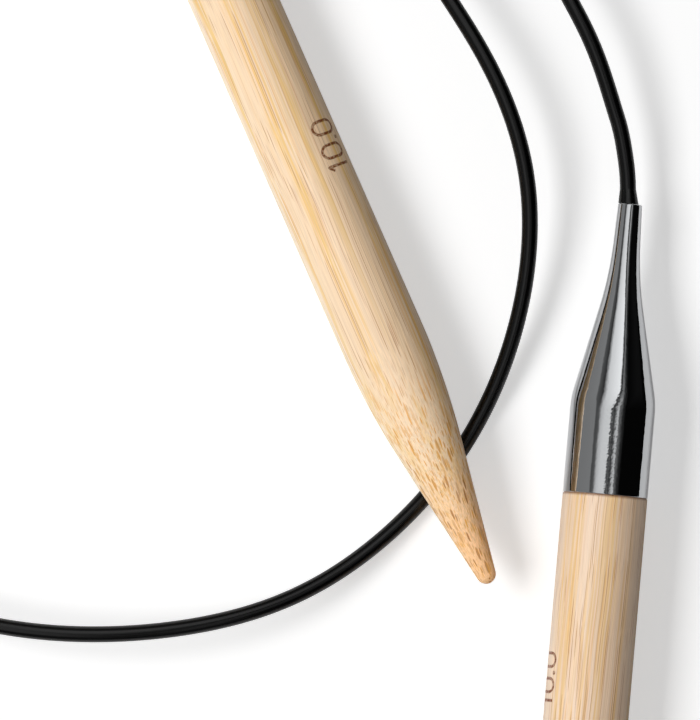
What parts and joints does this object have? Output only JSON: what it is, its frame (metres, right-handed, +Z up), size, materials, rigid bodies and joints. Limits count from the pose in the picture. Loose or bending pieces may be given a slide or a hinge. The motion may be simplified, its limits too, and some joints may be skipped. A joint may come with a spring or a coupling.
{
  "type": "circular knitting needle",
  "caption": "Fixed circular knitting needle: pointed bamboo tips in slim tapered metal ferrules, joined by a long black cable that swivels in both, for knitting tubes and wide pieces.",
  "frame": {"origin": "on the table, under the middle of the box round the two rigid tips (bamboo, ferrules and pins); the cable is left out of that box", "axes": "+Z up from the table; +Y away from the knitter, along which the two tips lie one after the other, the right tip pointing to -Y; +X to the right"},
  "size_m": [0.1207, 0.2397, 0.0103],
  "materials": {
    "cable": "smooth black nylon with a satin gloss",
    "bamboo": "sanded bamboo, fine grain along the shaft, satin waxed",
    "ferrule": "turned brass with a polished chrome plate",
    "swivel_pin": "turned stainless steel, bright"
  },
  "bodies": {
    "cable": {"cable": "cable", "left_swivel_pin": "swivel_pin", "right_swivel_pin": "swivel_pin"},
    "left_tip": {"left_bamboo_shaft": "bamboo", "left_ferrule": "ferrule"},
    "right_tip": {"right_bamboo_shaft": "bamboo", "right_ferrule": "ferrule"}
  },
  "joints": [
    {"name": "left_swivel", "type": "hinge", "parent": "cable", "child": "left_tip", "pos_m": [-0.0356, 0.1046, 0.0049], "axis": [0.4019, -0.9157, 0.004], "continuous": true},
    {"name": "right_swivel", "type": "hinge", "parent": "cable", "child": "right_tip", "pos_m": [0.0344, 0.0274, 0.005], "axis": [-0.0872, -0.9962, 0], "continuous": true}
  ]
}
